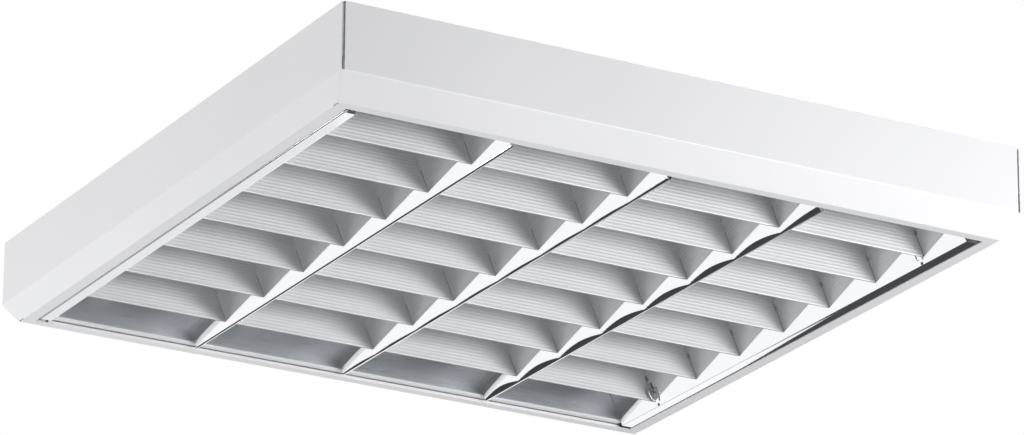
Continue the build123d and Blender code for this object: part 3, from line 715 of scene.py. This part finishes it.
lowEdge, highEdge, windowWidth = catch["window"]
windowEdges = []
for y in (-catch["y"], catch["y"]):
    windowEdges += [(y - windowWidth / 2, 2), (y + windowWidth / 2, 0)]
for side, word in ((-1, "left"), (1, "right")):
    node = f"side_reflector_{word}"
    stripOuter = high(node)[0] if side > 0 else -low(node)[0]
    section, foot = sideSection(stripOuter, reflector["stripBow"] if side > 0 else 0)
    middle = (section[1:, 1] + section[:-1, 1]) / 2
    onFlank = np.arange(len(middle)) >= foot
    # a catch's window goes through the flank and through the strip's upturned edge
    opened = onFlank & (middle > lowEdge) & (middle < highEdge)
    opened |= ~onFlank & (middle > reflector["stripBend"])
    name = f"sideMirror{word.capitalize()}"
    windows = windowEdges if side > 0 else ()
    piece = sweptSheet(name, section * (side, 1), -side * reflector["sheet"], windows, opened)
    dress(piece, "louvre", "mirror_sheet", mirrorSheet, node)
print("reflectors made")


# the ribbed blades

def bladeSection():
    # from the middle of the tip up one flank, as (spread, height): a rounded tip, then a
    # leaning flank whose ribs are half waves pressed inwards
    r = blade["tipRadius"]
    turn = np.linspace(0, np.pi / 2, 7)
    arc = np.stack([r * np.sin(turn), blade["bottom"] + r * (1 - np.cos(turn))], 1)
    foot = blade["bottom"] + 2 * r
    ribs = int((bladeTop - foot) / blade["ribPitch"])
    count = ribs * blade["pointsPerRib"]
    heights = foot + np.arange(count + 1) * blade["ribPitch"] / blade["pointsPerRib"]
    nearest = np.abs(heights - reflector["interlock"]).argmin()
    heights[nearest] = reflector["interlock"]
    heights = np.concatenate([heights, [bladeTop]])
    wave = 0.5 - 0.5 * np.cos(2 * np.pi * (heights - foot) / blade["ribPitch"])
    wave[-1] = 0
    spread = bladeHalfAt(heights) - blade["ribDepth"] * wave
    return np.concatenate([arc, np.stack([spread, heights], 1)])


def bladeLines(heights):
    # X of the grid's lines at each height: below the interlock they follow the reflectors'
    # flanks, above it the blade runs on to its square ends
    lower = np.minimum(heights, reflector["interlock"])
    gap = reachAt(np.maximum(lower, tipRise)) + reflector["fit"]
    wall = reflector["stripInner"] - gap
    end = np.where(heights >= reflector["interlock"], bladeHalf, wall + reflector["fit"])
    edges = [(-end, 1), (-wall, 0)]
    for x in separatorX:
        edges += [(x - gap, 1), (x + gap, 0)]
    edges += [(wall, 1), (end, 0)]
    return dividedLines(edges, blade["stepsPerCell"])


flankSection = bladeSection()
bladeWhole = np.concatenate([flankSection[::-1] * (-1, 1), flankSection[1:]])
bladeInner = offsetPath(bladeWhole, blade["sheet"])
bladeX, bladeKinds = bladeLines(bladeWhole[:, 1])
bladeMiddle = (bladeWhole[1:, 1] + bladeWhole[:-1, 1]) / 2
bladeKeep = ~((bladeMiddle[:, None] < reflector["interlock"]) & (bladeKinds[None] == 1))
for number, (node, y) in enumerate(zip(blades, bladeY), start=1):
    outer, inner = (gridPoints(bladeX, y + s[:, :1], s[:, 1:]) for s in (bladeWhole, bladeInner))
    piece = sheetPiece(f"ribbedBlade{number}", outer, inner, bladeKeep, sharp=60)
    dress(piece, "louvre", "ribbed_blade", ribbedBlade, node)
print("blades made")


# the louvre's end plates and catches

endPlate = {
    "sheet": 0.5 * mm,
    "bend": 0.55 * mm,
    "flange": 3.1 * mm,  # height of the flange's underside
    "topReturn": 4.0 * mm,
    "headHalf": 250.5 * mm,
    "columns": 40,
}


def makeEndPlate(word, way):
    # a folded path of (distance beyond the louvre's end, height), widened evenly from its head
    # down to its foot
    node = f"louvre_end_{word}"
    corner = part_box(node)[1 if way > 0 else 0]
    flangeEdge, footHalf = abs(corner[1]), high(node)[0]
    path = roundedPath([
        (louvreEnd + endPlate["topReturn"], louvreTop), (louvreEnd, louvreTop),
        (louvreEnd, endPlate["flange"]), (flangeEdge, endPlate["flange"]),
    ], endPlate["bend"])
    behind = offsetPath(path, endPlate["sheet"])
    foot = endPlate["flange"] + endPlate["sheet"]
    up = np.clip((path[:, 1] - foot) / (louvreTop - foot), 0, 1)
    half = footHalf + (endPlate["headHalf"] - footHalf) * up
    x = half[:, None] * np.linspace(-1, 1, endPlate["columns"] + 1)[None]
    outer, inner = (gridPoints(x, way * p[:, :1], p[:, 1:]) for p in (path, behind))
    piece = sheetPiece(f"endPlate{word.capitalize()}", outer, inner)
    dress(piece, "louvre", "mirror_sheet", endSheet, node)


def makeCatch(word, way):
    # a spring wire: a pin along Y through its ear, then its bends in one plane
    x, y, z = catch["x"], way * catch["y"], lowerFace + catch["height"]
    corners = [(x, y + catch["pin"], z)]
    corners += [(x + across * mm, y, z + up * mm) for across, up in catch["bends"]]
    rings = wireRings(roundedPath(corners, catch["bend"], 8), catch["wire"])
    piece = ringPiece(f"catchWire{word.capitalize()}", [(rings, False)], sharp=40)
    dress(piece, f"catch_{word}", "spring_wire", springSteel, f"catch_{word}")


for word, way in (("near", -1), ("far", 1)):
    makeEndPlate(word, way)
    makeCatch(word, way)
print("end plates and catches made")


# lamps

lamp = {
    "glass": 7.6 * mm,
    "tubeSides": 56,
    "shoulder": 6.0 * mm,  # the tube's wall has its last rows this far before the cap's lip
    "shoulderEnd": 2.0 * mm,
    "neck": (0.985, 0.96, 0.7),  # the tube's width at the lip, in the cap and at its end
    "cap": 8.0 * mm,
    "capLength": 15.0 * mm,
    "capFace": 274.5 * mm,
    "capSides": 48,
    # the cap's line in mm: its depth below the cap's radius with the way past the lip, then with
    # the way before the face, and then radius and depth of the dish in the face
    "capLip": ((0.15, 0.0), (0.0, 0.3), (0.0, 3.2), (0.25, 3.8), (0.0, 4.4)),
    "capEdge": ((0.0, 1.4), (0.4, 0.5), (1.3, 0.0)),
    "capDish": ((4.6, 0.0), (4.4, 0.3), (0.5, 0.3)),
    "pin": 1.2 * mm,
    "pinSpacing": 5.0 * mm,
    "pinLength": 7.1 * mm,
    "pinSides": 16,
    # the pin's nose in parts of its radius: how wide, and how far before its tip
    "pinNose": ((1.0, 0.9), (0.85, 0.4), (0.5, 0.1), (0.2, 0.0)),
}


def makeTube(number, x, z):
    # a turned glass tube, drawn in a little where it enters its caps
    r, end = lamp["glass"], lamp["capFace"] - lamp["capLength"] / 2
    lip = lamp["capFace"] - lamp["capLength"]
    atLip, inCap, atEnd = lamp["neck"]
    half = [(r, 0), (r, lip / 3), (r, lip * 2 / 3), (r, lip - lamp["shoulder"]),
            (r, lip - lamp["shoulderEnd"]), (r * atLip, lip), (r * inCap, end - mm), (r * atEnd, end)]
    profile = np.array([(a, -b) for a, b in half[:0:-1]] + half)
    rings = turnedRings(profile, (x, 0, z), (0, 1, 0), lamp["tubeSides"])
    piece = ringPiece(f"lampTube{number}", [(rings, False)], sharp=50)
    dress(piece, f"lamp_{number}", "lamp_glass", lampGlass, f"lamp_tube_{number}")


def makeCaps(number, x, z):
    # a turned cap at each end, with a rolled lip, a pressed ring and two round-nosed pins
    r, face = lamp["cap"], lamp["capFace"]
    lip = face - lamp["capLength"]
    capLine = [(lamp["glass"] - 0.2 * mm, lip + 0.4 * mm)]
    capLine += [(r - a * mm, lip + b * mm) for a, b in lamp["capLip"]]
    capLine += [(r - a * mm, face - b * mm) for a, b in lamp["capEdge"]]
    capLine += [(a * mm, face - b * mm) for a, b in lamp["capDish"]]
    p, tip = lamp["pin"], face + lamp["pinLength"]
    pinLine = [(p, face - mm)] + [(a * p, tip - b * p) for a, b in lamp["pinNose"]]
    stacks = []
    for way in (-1, 1):
        axis = (0, way, 0)
        stacks.append((turnedRings(capLine, (x, 0, z), axis, lamp["capSides"]), False))
        for shift in (-0.5, 0.5):
            place = (x + shift * lamp["pinSpacing"], 0, z)
            stacks.append((turnedRings(pinLine, place, axis, lamp["pinSides"]), False))
    piece = ringPiece(f"lampCaps{number}", stacks)
    dress(piece, f"lamp_{number}", "cap_metal", capMetal, f"lamp_caps_{number}")


for number in lampNumbers:
    middle = (low(f"lamp_tube_{number}") + high(f"lamp_tube_{number}")) / 2
    makeTube(number, middle[0], middle[2])
    makeCaps(number, middle[0], middle[2])
print("lamps made")


# screws and the cable's grommet

screw = {
    "head": 4.0 * mm,
    "height": 2.4 * mm,
    "shank": 1.9 * mm,
    "recess": 1.3 * mm,
    "arm": 2.1 * mm,
    "armWidth": 0.75 * mm,
    "recessTaper": 0.25,  # share of the recess's depth that is lost at an arm's end
    "domeDrop": 0.42,  # share of the head's height that is lost at its rim
    "innerRings": (0.1, 2.6, 18),  # from, to in mm, and how many
    "outerRings": (2.9 * mm, 3.3 * mm, 3.7 * mm),
    "sides": 64,
}


def screwRings(x, y, seat, top):
    # a pan head seen from below, whose dome falls with the fourth power of the radius, and whose
    # cross recess is a dip wherever a point lies within an arm
    angle = np.linspace(0, 2 * np.pi, screw["sides"], endpoint=False)
    inner = np.linspace(*screw["innerRings"]) * mm
    radius = np.concatenate([inner, screw["outerRings"], [screw["head"]]])
    dome = screw["height"] * (1 - screw["domeDrop"] * (radius / screw["head"]) ** 4)
    px, py = radius[:, None] * np.cos(angle), radius[:, None] * np.sin(angle)
    wide, long = screw["armWidth"], screw["arm"]
    inside = (np.abs(px) < wide) & (np.abs(py) < long)
    inside |= (np.abs(py) < wide) & (np.abs(px) < long)
    depth = screw["recess"] * inside * (1 - screw["recessTaper"] * radius[:, None] / long)
    head = np.stack([x + px, y + py, seat - (dome[:, None] - depth)], -1)
    rim = head[-1:].copy()
    rim[..., 2] = seat
    neck = np.stack([x + screw["shank"] * np.cos(angle), y + screw["shank"] * np.sin(angle)], -1)
    shank = [np.concatenate([neck, np.full((len(neck), 1), z)], 1)[None] for z in (seat, top)]
    return np.concatenate([head, rim] + shank)


def makeScrews(name, node, places):
    # the screws of one node, whose box gives the level of their heads and of their ends
    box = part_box(node)
    seat, top = box[0][2] + screw["height"], box[1][2]
    stacks = [(screwRings(x, y, seat, top), False) for x, y in places]
    piece = ringPiece(name, stacks, sharp=35)
    dress(piece, "housing", "zinc_plate", zincSteel, node)


coverCorner = high("cover_screws") - screw["head"]
coverPlaces = [(i * coverCorner[0], j * coverCorner[1]) for i in (-1, 1) for j in (-1, 1)]
makeScrews("coverScrews", "cover_screws", coverPlaces)
ballastEnds = (low("ballast_screws")[1] + screw["head"], high("ballast_screws")[1] - screw["head"])
makeScrews("ballastScrews", "ballast_screws", [(0.0, y) for y in ballastEnds])

grommet = {
    "bore": 4.6 * mm,
    "boreEdge": 0.5 * mm,
    "flange": 13.0 * mm,
    "flangeHeight": 2.5 * mm,
    "flangeRound": ((0.9, 0.0), (0.2, 0.4), (0.0, 1.1)),  # mm inside the rim, mm up
    "neck": 9.85 * mm,
    "neckEdge": 0.2 * mm,
    "topEdge": 0.3 * mm,
}


def makeGrommet():
    # a turned rubber ring with a soft-edged flange below the sheet
    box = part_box("cable_grommet")
    x, y = (box[0][0] + box[1][0]) / 2, (box[0][1] + box[1][1]) / 2
    bottom, top = box[0][2], box[1][2]
    seat = bottom + grommet["flangeHeight"]
    b, f, n = grommet["bore"], grommet["flange"], grommet["neck"]
    boreEdge, neckEdge, topEdge = grommet["boreEdge"], grommet["neckEdge"], grommet["topEdge"]
    line = [(b, bottom + boreEdge), (b + boreEdge, bottom)]
    line += [(f - inward * mm, bottom + up * mm) for inward, up in grommet["flangeRound"]]
    line += [(f, seat - topEdge), (f - topEdge, seat), (n, seat), (n, top - neckEdge)]
    line += [(n - neckEdge, top), (b + topEdge, top), (b, top - topEdge)]
    piece = ringPiece("cableGrommet", [(turnedRings(line, (x, y, 0), (0, 0, 1), 64), True)])
    dress(piece, "housing", "grommet_rubber", grommetRubber, "cable_grommet")


makeGrommet()
print("screws and grommet made")


# finishes of the CAD pieces that stay

for name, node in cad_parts.items():
    for slot in node.material_slots:
        label = slot.material.name.split(".")[0] if slot.material else ""
        finish = next((m for s, m in cadFinishes.items() if s in label), None)
        if finish is None:
            print("no finish for", name, label)
            continue
        slot.material = finish
print("finishes given")


# stage, light and camera

stage = {
    "floorHeight": -16.0,
    "floorHalf": 16.0,
    "floorColor": (0.86, 0.86, 0.87),
    "brightSide": (-0.50, 0.75, 0.45),  # the world is white this way
    "brightFrom": -0.20,
    "brightTo": 0.22,
    "darkSide": 0.10,  # and this bright the other way
    "worldLight": 0.64,  # share of it that lights dull surfaces; mirrors show all of it
    "lamps": (
        # name, place, aim, width, height, watts
        ("softKey", (0.922, -1.615, -0.59), (0.0, 0.0, 0.0), 0.85, 0.5, 29.5),
        ("softSide", (-1.30, 1.10, -1.10), (-0.2, 0.1, 0.0), 0.9, 0.9, 16.0),
        ("softFill", (-1.75, -0.90, -0.50), (0.0, 0.0, 0.0), 0.9, 0.9, 3.0),
    ),
    "cardDistance": 9.0,
    "cardSteps": 12,
    "cardColor": (0.17, 0.175, 0.18),
    "cardGlow": (0.98, 0.98, 1.0),
    "cards": (
        # degrees from +Y towards +X, from and to, then degrees above the horizon, from and to,
        # and how bright the card is by itself
        (33.6, 100.0, -50.0, 4.0, 0.0),
        (-31.0, 33.6, -50.0, -24.5, 0.0),
        (10.0, 26.4, -24.4, -10.0, 0.80),
    ),
}


def mattMaterial(name, color, **values):
    # one even colour without shine
    return newMaterial(name, Base_Color=(*color, 1), Roughness=0.9, **values)[0]


def makeFloor():
    # one large square, far below the light
    h, z = stage["floorHalf"], stage["floorHeight"]
    mesh = bpy.data.meshes.new("floor")
    mesh.from_pydata([(-h, -h, z), (h, -h, z), (h, h, z), (-h, h, z)], [], [(0, 1, 2, 3)])
    floor = bpy.data.objects.new("floor", mesh)
    bpy.context.scene.collection.objects.link(floor)
    mesh.materials.append(mattMaterial("floorPaint", stage["floorColor"]))


def makeCards():
    # cards far behind the light, bent round it, which only show in its mirrors: two dark ones,
    # and one that is a little dimmer than the world
    d, n = stage["cardDistance"], stage["cardSteps"]
    for number, (start, end, below, above, glow) in enumerate(stage["cards"], start=1):
        paper = mattMaterial(f"card{number}", stage["cardColor"],
                             Emission_Color=(*stage["cardGlow"], 1), Emission_Strength=glow)
        angle = np.radians(np.linspace(start, end, n))
        points = [(d * np.sin(a), d * np.cos(a), d * np.tan(np.radians(e)))
                  for e in (below, above) for a in angle]
        faces = [(i, i + 1, n + i + 1, n + i) for i in range(n - 1)]
        mesh = bpy.data.meshes.new(f"darkCard{number}")
        mesh.from_pydata(points, [], faces)
        card = bpy.data.objects.new(f"darkCard{number}", mesh)
        bpy.context.scene.collection.objects.link(card)
        mesh.materials.append(paper)
        card.visible_camera = False
        card.visible_diffuse = False


def makeLamp(name, place, aim, width, height, watts):
    # a large soft lamp that the camera doesn't see
    data = bpy.data.lights.new(name, "AREA")
    data.shape = "RECTANGLE"
    data.size = width
    data.size_y = height
    data.energy = watts
    light = bpy.data.objects.new(name, data)
    bpy.context.scene.collection.objects.link(light)
    turn = (Vector(place) - Vector(aim)).to_track_quat("Z", "Y").to_matrix().to_4x4()
    light.matrix_world = Matrix.Translation(place) @ turn
    light.visible_camera = False


def makeWorld():
    # soft light that is brighter from behind on the left; the camera sees plain white
    world = bpy.data.worlds.new("studio")
    bpy.context.scene.world = world
    world.use_nodes = True
    tree = world.node_tree
    tree.nodes.clear()
    where = addNode(tree, "ShaderNodeTexCoord", (-1100, -100))
    dot = addNode(tree, "ShaderNodeVectorMath", (-900, -100), operation="DOT_PRODUCT")
    dot.inputs[1].default_value = unit(np.array(stage["brightSide"]))
    shade = addNode(tree, "ShaderNodeMapRange", (-700, -100), interpolation_type="SMOOTHSTEP")
    setSockets(shade, From_Min=stage["brightFrom"], From_Max=stage["brightTo"],
               To_Min=stage["darkSide"], To_Max=1.0)
    level = addNode(tree, "ShaderNodeMapRange", (-700, -400))
    setSockets(level, From_Min=0.0, From_Max=1.0, To_Min=stage["worldLight"], To_Max=1.0)
    product = addNode(tree, "ShaderNodeMath", (-450, -200), operation="MULTIPLY")
    path = addNode(tree, "ShaderNodeLightPath", (-1100, 300))
    light = addNode(tree, "ShaderNodeBackground", (-250, 0))
    white = addNode(tree, "ShaderNodeBackground", (-250, -150))
    mix = addNode(tree, "ShaderNodeMixShader", (0, 0))
    out = addNode(tree, "ShaderNodeOutputWorld", (200, 0))
    setSockets(light, Color=(1, 1, 1, 1))
    setSockets(white, Color=(1, 1, 1, 1), Strength=1.0)
    tree.links.new(where.outputs["Generated"], dot.inputs[0])
    tree.links.new(dot.outputs["Value"], shade.inputs["Value"])
    tree.links.new(path.outputs["Is Glossy Ray"], level.inputs["Value"])
    tree.links.new(shade.outputs["Result"], product.inputs[0])
    tree.links.new(level.outputs["Result"], product.inputs[1])
    tree.links.new(product.outputs[0], light.inputs["Strength"])
    tree.links.new(path.outputs["Is Camera Ray"], mix.inputs[0])
    tree.links.new(light.outputs[0], mix.inputs[1])
    tree.links.new(white.outputs[0], mix.inputs[2])
    tree.links.new(mix.outputs[0], out.inputs[0])


view = {
    "place": (-2.0238, -3.6478, -1.5692),
    "right": (0.87212657, -0.48924, 0.00628308),
    "down": (0.1756419, 0.30106473, -0.93728862),
    "ahead": (0.45666747, 0.81853788, 0.34849759),
    "lens": 194.8,  # for a sensor of this width, both in mm
    "sensor": 36.0,
    "farClip": 100.0,
}


def makeCamera():
    # the photo's own camera, from the three directions of its picture
    data = bpy.data.cameras.new("photoCamera")
    data.lens = view["lens"]
    data.sensor_width = view["sensor"]
    data.clip_end = view["farClip"]
    camera = bpy.data.objects.new("photoCamera", data)
    bpy.context.scene.collection.objects.link(camera)
    right, down, ahead = (np.array(view[k]) for k in ("right", "down", "ahead"))
    turn = Matrix(np.stack([right, -down, -ahead], 1).tolist()).to_4x4()
    camera.matrix_world = Matrix.Translation(view["place"]) @ turn
    bpy.context.scene.camera = camera


makeFloor()
makeCards()
for lampValues in stage["lamps"]:
    makeLamp(*lampValues)
makeWorld()
makeCamera()
bpy.context.scene.view_settings.view_transform = "Standard"
print("stage set")
